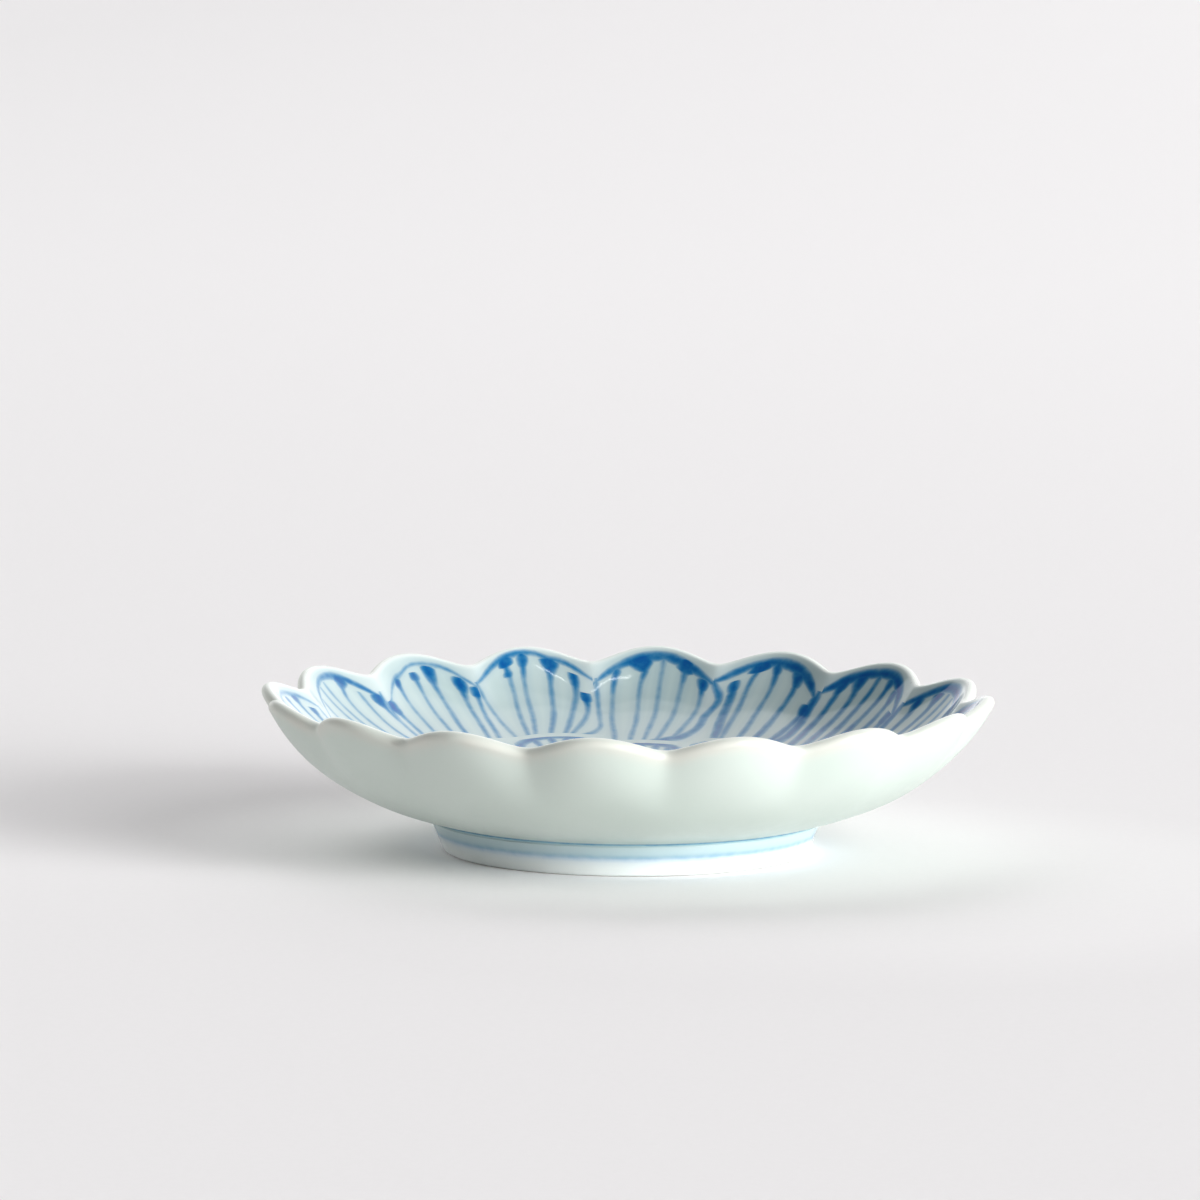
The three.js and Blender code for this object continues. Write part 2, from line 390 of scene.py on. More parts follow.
@dataclass
class PetalPainting:
    """The cobalt painting inside the bowl: a row of veined petals, a row of small ones below, and the heart."""

    petals: int = 16
    arch_fall: float = 2.1
    small_at: float = -0.02
    small_reach: float = 0.44
    small_fall: float = 2.3
    small_end: float = 15.2
    small_gap: float = 0.65
    small_half: float = 0.42
    small_load: float = 2.8
    heart_radius: float = 13.4
    head_load: float = 3.1
    line_half: float = 0.5074
    veins_held: int = 6

    def petal(self, index: int) -> PaintedPetal:
        """The brush marks of one petal.

        The petals seen from the front over the lip are painted one by one. The others repeat them the other way
        round.

        Args:
            index: Number of the petal, from the front towards the right.

        Returns:
            Its marks.
        """
        seen = {4: RIGHT_BACK, 5: RIGHT_BACK, 6: BACK_RIGHT, 7: BACK_NEAR_RIGHT, 8: BACK_MIDDLE, 9: BACK_NEAR_LEFT,
                10: BACK_LEFT, 11: LEFT_BACK, 12: LEFT_EDGE}
        if index in seen:
            return seen[index]
        repeats = (BACK_MIDDLE, BACK_NEAR_LEFT, BACK_RIGHT, BACK_LEFT, BACK_NEAR_RIGHT, LEFT_EDGE, BACK_NEAR_LEFT)
        return repeats[index % len(repeats)].mirrored()

    def vein_mark(self, vein: Vein, petal: PaintedPetal, across: Array, down: Array, width: Array,
                  phase: float) -> Mark:
        """One vein as a mark: a loaded head, then a line that leans and draws in towards the middle as it runs down.

        A pool narrows to a point, a block keeps its width and rounds off, a drop is an ellipse and a long head a
        slim leaf. The line starts round, keeps its width and thins out over the last 3 mm.

        Args:
            vein: The vein.
            petal: The petal it is on.
            across: Share of the petal's width of each column.
            down: Distance below the lip of each row.
            width: Width of the petal at each row.
            phase: Where the hand's slow waver starts.

        Returns:
            The mark.
        """
        run = np.clip((down - vein.start) / (petal.end - vein.start), 0.0, 1.0) ** 2.5
        headless = vein.head is Head.NONE
        below = np.clip(down - vein.start - 0.5 * vein.length, 0.0, None)
        middle = vein.at * (1.0 - petal.gather * run) + petal.lean * run + vein.drift * (1.0 - np.exp(-below / 2.0))
        middle = middle + 0.006 * np.sin(0.55 * down + phase)
        line_start = vein.start if headless else vein.start + 0.7 * vein.length
        begun = np.sqrt(np.clip((down - line_start) / 1.4, 0.0, 1.0))
        line = self.line_half * vein.line * begun * (1.0 - 0.25 * ease(down, petal.end - 3.0, petal.end))
        line = np.where((down > line_start) & (vein.line > 0.0), line, NO_MARK)
        part = np.clip((down - vein.start) / vein.length, 0.0, 1.0)
        shapes = {
            Head.NONE: np.full_like(part, NO_MARK),
            Head.POOL: (1.0 - part) ** 0.85 * np.sqrt(np.clip(part / 0.12, 0.0, 1.0)),
            Head.BLOCK: np.sqrt(np.clip(1.0 - np.abs(2.0 * part - 1.0) ** 4, 0.0, 1.0)) * (1.0 - 0.25 * part),
            Head.DROP: np.sqrt(np.clip(1.0 - (2.0 * part - 1.0) ** 2, 0.0, 1.0)),
            Head.LONG: np.sin(np.pi * part ** 0.6) ** 0.8,
        }
        inside = (part > 0.0) & (part < 1.0) & (not headless)
        head = np.where(inside, 0.5 * vein.width * shapes[vein.head], NO_MARK)
        loaded = 0.0 if headless else 1.0
        past = np.exp(-np.clip(down - vein.start - 0.8 * vein.length, 0.0, None) / 1.1)
        load = vein.load * (1.0 + 1.2 * ease(down, 6.0, petal.end)) + loaded * (self.head_load - vein.load) * past
        aside = vein.skew * np.clip(head, 0.0, None)
        offset = (across[None, :] - middle[:, None]) * width[:, None] + aside[:, None]
        half = np.broadcast_to(np.maximum(line, head)[:, None], offset.shape)
        return Mark(offset, half, np.broadcast_to(load[:, None], offset.shape))

    def arch_mark(self, arch: Arch, across: Array, down: Array, width: Array, phase: float) -> Mark:
        """The outline along a petal's top, thick at its peak and thin where it runs down to the creases.

        Its line falls below the lip by a power of the distance from the peak, with a bell-shaped dip where two brush
        marks meet. The distance from it is measured downwards and shortened by the line's slope.

        Args:
            arch: The outline.
            across: Share of the petal's width of each column.
            down: Distance below the lip of each row.
            width: Width of the petal at each row.
            phase: Where the hand's slow waver starts.

        Returns:
            The mark.
        """
        way = across - arch.peak
        reach = np.where(way < 0.0, arch.left, arch.right)
        fall = self.arch_fall * (np.abs(way) / reach) ** arch.steep
        slope = self.arch_fall * arch.steep / reach * (np.abs(way) / reach) ** (arch.steep - 1.0)
        dip = arch.dip * np.exp(-((across - arch.dip_at) / 0.07) ** 2)
        waver = 0.08 * np.sin(11.0 * across + 2.0 * phase)
        offset = down[:, None] - (arch.gap + fall + dip + waver)[None, :]
        offset = offset / np.hypot(1.0, slope[None, :] / width[:, None])
        swell = 0.85 + 0.22 * np.sin(7.0 * across + phase) + 0.4 * arch.heavy * ease(across, -0.1, 0.25)
        lower = ease(down, arch.gap + 0.6, arch.gap + 3.2)[:, None]
        half = 0.5 * arch.width * swell[None, :] * (1.0 - 0.5 * lower)
        half = half * (0.3 + 0.7 * ease(0.5 - np.abs(across), 0.0, 0.14))[None, :]
        half = np.where(down[:, None] < arch.gap + 5.0, half, NO_MARK)
        loaded = arch.load * (1.0 + arch.heavy * ease(across, -0.1, 0.25)) * (0.9 + 0.2 * swell)
        load = loaded[None, :] * (1.0 - 0.45 * lower)
        return Mark(offset, half, np.broadcast_to(load, offset.shape))

    def side_mark(self, petal: PaintedPetal, across: Array, down: Array, width: Array) -> Mark:
        """The line on the crease at a petal's right, which turns in under the petal as a power of the way down.

        It may bulge to the right by a squared sine on its way. The distance from it is measured across and shortened
        by the line's slope.

        Args:
            petal: The petal.
            across: Share of the petal's width of each column.
            down: Distance below the lip of each row.
            width: Width of the petal at each row.

        Returns:
            The mark.
        """
        side = petal.side
        way = np.clip((down - side.turn) / (petal.end - side.turn), 0.0, 1.0)
        power = 0.3 * (petal.end - side.turn) + 1.0
        middle = side.at - (side.at - side.base) * way ** power
        middle = middle + side.bulge * np.sin(np.pi * np.clip((down - 1.5) / 10.0, 0.0, 1.0)) ** 2
        middle = middle + side.lean * np.clip((down - side.top) / (petal.end - side.top), 0.0, 1.0)
        slope = np.gradient(middle, down) * width
        offset = (across[None, :] - middle[:, None]) * width[:, None] / np.hypot(1.0, slope)[:, None]
        drawn = ease(down, side.top, side.top + 2.0)
        half = np.where(drawn > 0.0, 0.5 * side.width * (0.35 + 0.65 * drawn) * (1.0 + 0.7 * way ** 3), NO_MARK)
        load = side.load * (1.0 + 0.9 * way ** 3)
        return Mark(offset, np.broadcast_to(half[:, None], offset.shape),
                    np.broadcast_to(load[:, None], offset.shape))

    def small_petal(self, start: float, across: Array, down: Array, width: Array, radius: Array,
                    phase: float) -> list[Mark]:
        """A petal of the small row: a round outline with a loaded stroke at its left, and short veins.

        Args:
            start: Distance of its top below the lip.
            across: Share of the petal's width of each column.
            down: Distance below the lip of each row.
            width: Width of the petal at each row.
            radius: Distance of each row from the axis.
            phase: Where the hand's slow waver starts.

        Returns:
            The outline, the stroke beside it, and the veins.
        """
        way = (across - self.small_at) / self.small_reach
        fall = self.small_fall * np.abs(way) ** 3
        slope = 3.0 * self.small_fall / self.small_reach * way ** 2
        offset = down[:, None] - (start + self.small_gap + fall + 0.1 * np.sin(9.0 * across + phase))[None, :]
        offset = offset / np.hypot(1.0, slope[None, :] / width[:, None])
        fade = ease(radius, self.heart_radius + 0.6, self.heart_radius + 2.4)[:, None]
        half = np.broadcast_to(self.small_half * fade + NO_MARK * (fade <= 0.0), offset.shape)
        sideways = 0.6 * (across - self.small_at + 0.24)[None, :] * width[:, None]
        beside = np.hypot(sideways, (down - start - 1.1)[:, None])
        load = np.full_like(offset, self.small_load)
        marks = [Mark(offset, half, load), Mark(beside, np.full_like(beside, 0.5), load)]
        for aside, begin, size in ((-0.21, 1.0, 0.5), (-0.03, 0.7, 0.6), (0.15, 0.8, 0.5), (0.31, 1.6, 0.45)):
            reached = down - start - begin
            head = 0.5 * size * np.exp(-((reached - 0.9) / 0.9) ** 2)
            line = 0.2 * ease(reached, 0.0, 1.0) * ease(radius, self.small_end, self.small_end + 2.0)
            drawn = (reached > 0.0) & (radius > self.small_end)
            thick = np.where(drawn, np.maximum(head, line), NO_MARK)
            load = 1.2 + 1.6 * np.exp(-np.clip(reached - 1.5, 0.0, None) / 1.2)
            middle = self.small_at + aside + 0.012 * np.sin(0.6 * down + phase + 9.0 * aside)
            vein = (across[None, :] - middle[:, None]) * width[:, None]
            marks.append(Mark(vein, np.broadcast_to(thick[:, None], vein.shape),
                              np.broadcast_to(load[:, None], vein.shape)))
        return marks

    def heart(self, angle: Array, radius: Array) -> list[Mark]:
        """The heart of the flower: two rings and three rounds of seeds, each a dot.

        Args:
            angle: Angle of each column about the axis.
            radius: Distance of each row from the axis.

        Returns:
            The outer ring, followed by the seeds and the inner ring.
        """
        across = np.broadcast_to(angle[None, :], (len(radius), len(angle)))
        out = np.broadcast_to(radius[:, None], across.shape)
        marks = [Mark(out - self.heart_radius, np.full_like(out, 0.3), np.full_like(out, 1.5))]
        for count, ring, size, turn_by in ((16, 10.6, 0.62, 0.5), (11, 7.2, 0.66, 0.0), (6, 3.7, 0.66, 0.5)):
            step = 2.0 * np.pi / count
            near = (np.round(across / step - turn_by) + turn_by) * step
            apart = np.sqrt(np.maximum(out ** 2 + ring ** 2 - 2.0 * out * ring * np.cos(across - near), 0.0))
            marks.append(Mark(apart, np.full_like(out, size), np.full_like(out, 2.2)))
        marks.append(Mark(out, np.full_like(out, 0.8), np.full_like(out, 2.4)))
        marks.append(Mark(out - self.heart_radius + 1.1, np.full_like(out, 0.14), np.full_like(out, 0.9)))
        return marks

    def large_petal(self, index: int, across: Array, down: Array, width: Array, phases: Array) -> list[Mark]:
        """The marks of a petal of the large row: its arch, the nearer of its two side lines, and its veins.

        Args:
            index: Number of the petal.
            across: Share of the petal's width of each column.
            down: Distance below the lip of each row.
            width: Width of the petal at each row.
            phases: Where the hand's slow waver starts for the arch and each vein.

        Returns:
            The marks.
        """
        petal = self.petal(index)
        on_left = self.petal((index + 1) % self.petals)
        right = self.side_mark(petal, across, down, width)
        left = self.side_mark(on_left, across + 1.0, down, width)
        sides = right.over(replace(left, offset=-left.offset))
        marks = [self.arch_mark(petal.arch, across, down, width, phases[0]), sides]
        marks += [self.vein_mark(vein, petal, across, down, width, phase)
                  for vein, phase in zip(petal.veins, phases[1:])]
        return marks

    def fields(self, across: Array, down: Array, radius: Array) -> dict[str, Array]:
        """The painting as vectors on the grid of every petal.

        Offsets and half widths of eight marks are kept apart, because a straight blend of either between two rows
        stays true. The first and last rows of the small petals hold no mark, so that no hairline shows where an
        offset changes sign. The load is that of the marks near by, weighed by their reach.

        Args:
            across: Share of the petal's width of each column of a petal, both edges included.
            down: Distance below the lip of each row of the bowl, less than zero outside.
            radius: Distance of each row from the axis.

        Returns:
            For each attribute's name, an array by row, petal, column and part.
        """
        chance = np.random.default_rng(SEED)
        width = 2.0 * np.pi * radius / self.petals
        rows, columns = len(down), len(across)
        offsets = np.full((rows, self.petals, columns, self.veins_held + 2), 5.0)
        halves = np.full_like(offsets, NO_MARK)
        loads = np.ones_like(offsets)
        for index in range(self.petals):
            phases = chance.uniform(0.0, 2.0 * np.pi, self.veins_held + 1)
            angle = 2.0 * np.pi * (index - across) / self.petals
            end = self.petal(index).end
            large = (down > -2.5) & (down <= end)
            small = (down > end) & (radius > self.heart_radius + 0.9)
            middle = (down > end) & (radius <= self.heart_radius + 0.9)
            groups = (
                (large, self.large_petal(index, across, down, width, phases)),
                (small, self.small_petal(end, across, down, width, radius, phases[0])),
                (middle, self.heart(angle, radius)),
            )
            for chosen, group in groups:
                for slot, mark in enumerate(group):
                    offsets[chosen, index, :, slot] = mark.offset[chosen]
                    halves[chosen, index, :, slot] = mark.half[chosen]
                    loads[chosen, index, :, slot] = mark.load[chosen]
            halves[np.flatnonzero(small)[[0, -1]], index] = NO_MARK
        reach = np.clip(halves - np.abs(offsets), -4.0, 4.0)
        weight = np.exp(reach / 0.3)
        load = (weight * loads).sum(axis=-1) / weight.sum(axis=-1)
        return {
            "outline": np.stack([offsets[..., 0], halves[..., 0], load], axis=-1),
            "side": np.stack([offsets[..., 1], halves[..., 1], load], axis=-1),
            "offsets_near": offsets[..., 2:5], "halves_near": halves[..., 2:5],
            "offsets_far": offsets[..., 5:8], "halves_far": halves[..., 5:8],
        }


# Shader nodes

class NodeSheet:
    """Places and wires the nodes of one shader tree."""

    def __init__(self, tree: bpy.types.NodeTree) -> None:
        """Starts on a tree, which is emptied.

        Args:
            tree: The tree to fill.
        """
        self.tree = tree
        tree.nodes.clear()

    def node(self, kind: str, **settings: object) -> bpy.types.Node:
        """Adds a node of a kind and gives it its settings.

        Args:
            kind: Blender's name of the node's type.
            settings: Properties of the node.

        Returns:
            The node.
        """
        made = self.tree.nodes.new(kind)
        for name, value in settings.items():
            setattr(made, name, value)
        return made

    def feed(self, target: Socket, source: object) -> None:
        """Wires a socket to a target, or sets a plain value on it."""
        if isinstance(source, bpy.types.NodeSocket):
            self.tree.links.new(source, target)
        else:
            target.default_value = source

    def math(self, operation: str, first: object, second: object = 0.0, third: object = 0.0) -> Socket:
        """One step of arithmetic.

        Args:
            operation: Blender's name of the operation.
            first: First value or socket.
            second: Second one.
            third: Third one, where the operation has it.

        Returns:
            The result's socket.
        """
        made = self.node("ShaderNodeMath", operation=operation)
        for target, source in zip(made.inputs, (first, second, third)):
            self.feed(target, source)
        return made.outputs[0]

    def rise(self, value: object, low: object, high: object, start: object = 0.0, end: object = 1.0) -> Socket:
        """A smooth rise from start, where value is low, to end, where it is high.

        Args:
            value: Value or socket to read.
            low: Value at which the rise starts.
            high: Value at which it ends.
            start: Result before it.
            end: Result after it.

        Returns:
            The result's socket.
        """
        made = self.node("ShaderNodeMapRange", interpolation_type="SMOOTHSTEP")
        for name, source in (("Value", value), ("From Min", low), ("From Max", high),
                             ("To Min", start), ("To Max", end)):
            self.feed(made.inputs[name], source)
        return made.outputs["Result"]

    def mix(self, share: object, first: object, second: object, blend: str = "MIX") -> Socket:
        """A mix of two colours.

        Args:
            share: Share of the second colour.
            first: First colour or socket.
            second: Second one.
            blend: Blender's name of the way to mix.

        Returns:
            The colour's socket.
        """
        made = self.node("ShaderNodeMix", data_type="RGBA", blend_type=blend)
        for place, source in ((0, share), (6, first), (7, second)):
            self.feed(made.inputs[place], source)
        return made.outputs[2]

    def noise(self, place: Socket, size: float, detail: float = 2.0) -> Socket:
        """Soft cloudy noise from 0 to 1 about 0.5.

        Args:
            place: Socket of the place, in metres.
            size: Size of its clouds in millimetres.
            detail: Number of finer layers.

        Returns:
            The noise's socket.
        """
        made = self.node("ShaderNodeTexNoise")
        self.feed(made.inputs["Vector"], place)
        made.inputs["Scale"].default_value = 1.0 / (size * MM)
        made.inputs["Detail"].default_value = detail
        return made.outputs["Fac"]

    def place(self) -> Socket:
        """The place on the piece in its own frame, in metres."""
        return self.node("ShaderNodeTexCoord").outputs["Object"]

    def parts(self, vector: Socket) -> tuple[Socket, Socket, Socket]:
        """The three parts of a vector."""
        made = self.node("ShaderNodeSeparateXYZ")
        self.feed(made.inputs[0], vector)
        return made.outputs[0], made.outputs[1], made.outputs[2]

    def kept(self, name: str) -> Socket:
        """The vector kept on the mesh under a name."""
        return self.node("ShaderNodeAttribute", attribute_name=name).outputs["Vector"]

    def group(self, tree: bpy.types.NodeTree, **inputs: object) -> bpy.types.Node:
        """Places a node group and feeds its inputs, in whose names an underscore stands for a space.

        Args:
            tree: The group.
            inputs: What each input takes.

        Returns:
            The group's node.
        """
        made = self.node("ShaderNodeGroup", node_tree=tree)
        for name, source in inputs.items():
            self.feed(made.inputs[name.replace("_", " ")], source)
        return made


def new_group(name: str, inputs: dict[str, str], outputs: dict[str, str]) -> tuple[NodeSheet, dict, dict]:
    """Starts a shader node group.

    Args:
        name: Name of the group.
        inputs: Kind of each input by name, such as Float, Color or Vector.
        outputs: Kind of each output by name.

    Returns:
        The sheet to fill, the sockets that the inputs give, and the sockets that take the outputs.
    """
    tree = bpy.data.node_groups.new(name, "ShaderNodeTree")
    sheet = NodeSheet(tree)
    for way, sockets in (("INPUT", inputs), ("OUTPUT", outputs)):
        for socket, kind in sockets.items():
            tree.interface.new_socket(socket, in_out=way, socket_type="NodeSocket" + kind)
    given = sheet.node("NodeGroupInput").outputs
    taken = sheet.node("NodeGroupOutput").inputs
    return sheet, {key: given[key] for key in inputs}, {key: taken[key] for key in outputs}


def new_material(name: str) -> tuple[bpy.types.Material, NodeSheet]:
    """An empty material and the sheet to fill."""
    made = bpy.data.materials.new(name)
    made.use_nodes = True
    return made, NodeSheet(made.node_tree)


def glazed_surface(sheet: NodeSheet, colour: Socket, roughness: Socket, height: Socket, ripple: float) -> None:
    """Ends a glaze's material with its shader.

    Args:
        sheet: The material's sheet.
        colour: Colour under the glaze.
        roughness: Roughness of the glaze.
        height: Height of its ripple.
        ripple: Strength of its ripple.
    """
    bump = sheet.node("ShaderNodeBump")
    bump.inputs["Strength"].default_value = ripple
    bump.inputs["Distance"].default_value = RIPPLE_HEIGHT * MM
    sheet.feed(bump.inputs["Height"], height)
    shader = sheet.node("ShaderNodeBsdfPrincipled")
    shader.inputs["IOR"].default_value = GLAZE_IOR
    sheet.feed(shader.inputs["Base Color"], colour)
    sheet.feed(shader.inputs["Roughness"], roughness)
    sheet.feed(shader.inputs["Normal"], bump.outputs["Normal"])
    output = sheet.node("ShaderNodeOutputMaterial")
    sheet.feed(output.inputs["Surface"], shader.outputs["BSDF"])


@dataclass(frozen=True)
class GlazeEffects:
    """The node groups that the glazed pieces share."""

    ground: bpy.types.NodeTree
    stroke: bpy.types.NodeTree
    cobalt: bpy.types.NodeTree

    @classmethod
    def make(cls) -> GlazeEffects:
        """Builds the groups once."""
        return cls(cls.glaze_ground(), cls.brush_stroke(), cls.cobalt_wash())

    @staticmethod
    def glaze_ground() -> bpy.types.NodeTree:
        """Clear glaze over white porcelain: its tint deepens with its thickness, which drifts, and specks show.

        Returns:
            The group. It puts out the colour, the height of the glaze's fine ripple and its roughness.
        """
        sheet, given, taken = new_group(
            "Glaze ground",
            {"Place": "Vector", "Body": "Color", "Tint": "Color", "Depth": "Float", "Gloss": "Float"},
            {"Colour": "Color", "Ripple": "Float", "Roughness": "Float"},
        )
        drift = sheet.noise(given["Place"], 14.0, 1.0)
        depth = sheet.math("MULTIPLY", given["Depth"], sheet.rise(drift, 0.3, 0.7, 0.95, 1.05))
        colour = sheet.mix(depth, given["Body"], given["Tint"])
        speck = sheet.node("ShaderNodeTexVoronoi", feature="F1")
        sheet.feed(speck.inputs["Vector"], given["Place"])
        speck.inputs["Scale"].default_value = 1.0 / (3.4 * MM)
        chosen = sheet.math("GREATER_THAN", sheet.parts(speck.outputs["Color"])[0], 0.965)
        dot = sheet.math("MULTIPLY", chosen, sheet.rise(speck.outputs["Distance"], 0.02, 0.05, 0.55, 0.0))
        sheet.feed(taken["Colour"], sheet.mix(dot, colour, srgb(96, 92, 84)))
        fine = sheet.noise(given["Place"], 1.6, 2.0)
        broad = sheet.noise(given["Place"], 6.0, 1.0)
        sheet.feed(taken["Ripple"], sheet.math("MULTIPLY_ADD", broad, 2.0, fine))
        spread = sheet.rise(fine, 0.3, 0.7, 0.92, 1.1)
        sheet.feed(taken["Roughness"], sheet.math("MULTIPLY", given["Gloss"], spread))
        return sheet.tree

    @staticmethod
    def brush_stroke() -> bpy.types.NodeTree:
        """A brush mark from how far a point lies inside it: a wavering, softly bled edge and streaks of load.

        Returns:
            The group. It takes the reach in millimetres and puts out the density of colour.
        """
        sheet, given, taken = new_group(
            "Brush stroke",
            {"Place": "Vector", "Reach": "Float", "Load": "Float", "Softness": "Float", "Waver": "Float"},
            {"Density": "Float"},
        )
        slow = sheet.math("SUBTRACT", sheet.noise(given["Place"], 3.6, 2.0), 0.5)
        quick = sheet.math("SUBTRACT", sheet.noise(given["Place"], 0.8, 1.0), 0.5)
        waver = sheet.math("MULTIPLY", sheet.math("MULTIPLY_ADD", quick, 0.3, slow), given["Waver"])
        reach = sheet.math("ADD", given["Reach"], waver)
        soft = sheet.math("MULTIPLY_ADD", given["Load"], 0.12, given["Softness"])
        cover = sheet.rise(reach, sheet.math("MULTIPLY", soft, -1.0), soft)
        bleed = sheet.rise(reach, -1.5, 0.2, 0.0, 0.1)
        streak = sheet.rise(sheet.noise(given["Place"], 1.5, 3.0), 0.28, 0.72, 0.72, 1.28)
        load = sheet.math("MULTIPLY", given["Load"], streak)
        sheet.feed(taken["Density"], sheet.math("MULTIPLY_ADD", cover, load, bleed))
        return sheet.tree

    @staticmethod
    def cobalt_wash() -> bpy.types.NodeTree:
        """Cobalt under glaze: grains that hold back most red and some of the green and blue, and deepen with density.

        The grains cover 1 - 0.19^d of the ground at a density d. A part of the colour passes as 1 - held * cover,
        dimmed by a power d of its own.

        Returns:
            The group.
        """
        sheet, given, taken = new_group("Cobalt wash", {"Ground": "Color", "Density": "Float"}, {"Colour": "Color"})
        passed = sheet.node("ShaderNodeCombineColor")
        cover = sheet.math("SUBTRACT", 1.0, sheet.math("POWER", 0.19, given["Density"]))
        for target, held, deep in zip(passed.inputs, (0.99, 0.5, 0.3), (1.0, 0.72, 0.92)):
            open_ground = sheet.math("MULTIPLY_ADD", cover, -held, 1.0)
            sheet.feed(target, sheet.math("MULTIPLY", open_ground, sheet.math("POWER", deep, given["Density"])))
        sheet.feed(taken["Colour"], sheet.mix(1.0, given["Ground"], passed.outputs[0], "MULTIPLY"))
        return sheet.tree


# Finishes

@dataclass(frozen=True)
class PaintedGlaze:
    """The bowl's finish: pale green glaze outside, bluish glaze inside darkened as painted shade, over the cobalt
    painting.
    """

    effects: GlazeEffects
    body: Colour = srgb(243, 245, 244)
    # painted shade: the inside colour is darker than the outside one, for the shade within the bowl, besides its
    # bluish tint
    inside: Colour = srgb(161, 184, 184)
    outside: Colour = srgb(197, 210, 201)
    thin: Colour = srgb(214, 213, 204)
    gloss: float = 0.07
    satin: float = 0.34
    softness: float = 0.3
    waver: float = 0.26
    ripple: float = 0.06
    ripple_outside: float = 0.15

    def material(self) -> bpy.types.Material:
        """Builds the material, which reads the bowl's attributes.

        Returns:
            The material.
        """
        made, sheet = new_material("painted_glaze")
        place = sheet.place()
        depth, within, edge = sheet.parts(sheet.kept("glaze"))
        # the inside tint carries painted shade
        tint = sheet.mix(within, self.outside, self.inside)
        gloss = sheet.math("MULTIPLY_ADD", within, self.gloss - self.satin, self.satin)
        ground = sheet.group(self.effects.ground, Place=place, Body=self.body, Tint=tint, Depth=depth, Gloss=gloss)
        offset, half, load = sheet.parts(sheet.kept("outline"))
        side_offset, side_half, _ = sheet.parts(sheet.kept("side"))
        marks = [(offset, half), (side_offset, side_half)]
        for part in ("near", "far"):
            marks += zip(sheet.parts(sheet.kept("offsets_" + part)), sheet.parts(sheet.kept("halves_" + part)))
        reach = NO_MARK
        for offset, half in marks:
            mark = sheet.math("SUBTRACT", half, sheet.math("ABSOLUTE", offset))
            reach = sheet.math("SMOOTH_MAX", reach, mark, 0.12)
        stroke = sheet.group(self.effects.stroke, Place=place, Reach=reach, Load=load, Softness=self.softness,
                             Waver=self.waver)
        density = sheet.math("MULTIPLY", stroke.outputs["Density"], within)
        worn = sheet.math("MULTIPLY", edge, sheet.rise(sheet.noise(place, 5.0, 3.0), 0.3, 0.7, 0.4, 0.8))
        clear = sheet.mix(worn, ground.outputs["Colour"], self.thin)
        cobalt = sheet.group(self.effects.cobalt, Ground=clear, Density=density)
        smooth = sheet.math("MULTIPLY_ADD", within, 1.0 - self.ripple_outside, self.ripple_outside)
        height = sheet.math("MULTIPLY", ground.outputs["Ripple"], smooth)
        glazed_surface(sheet, cobalt.outputs["Colour"], ground.outputs["Roughness"], height, self.ripple)
        return made


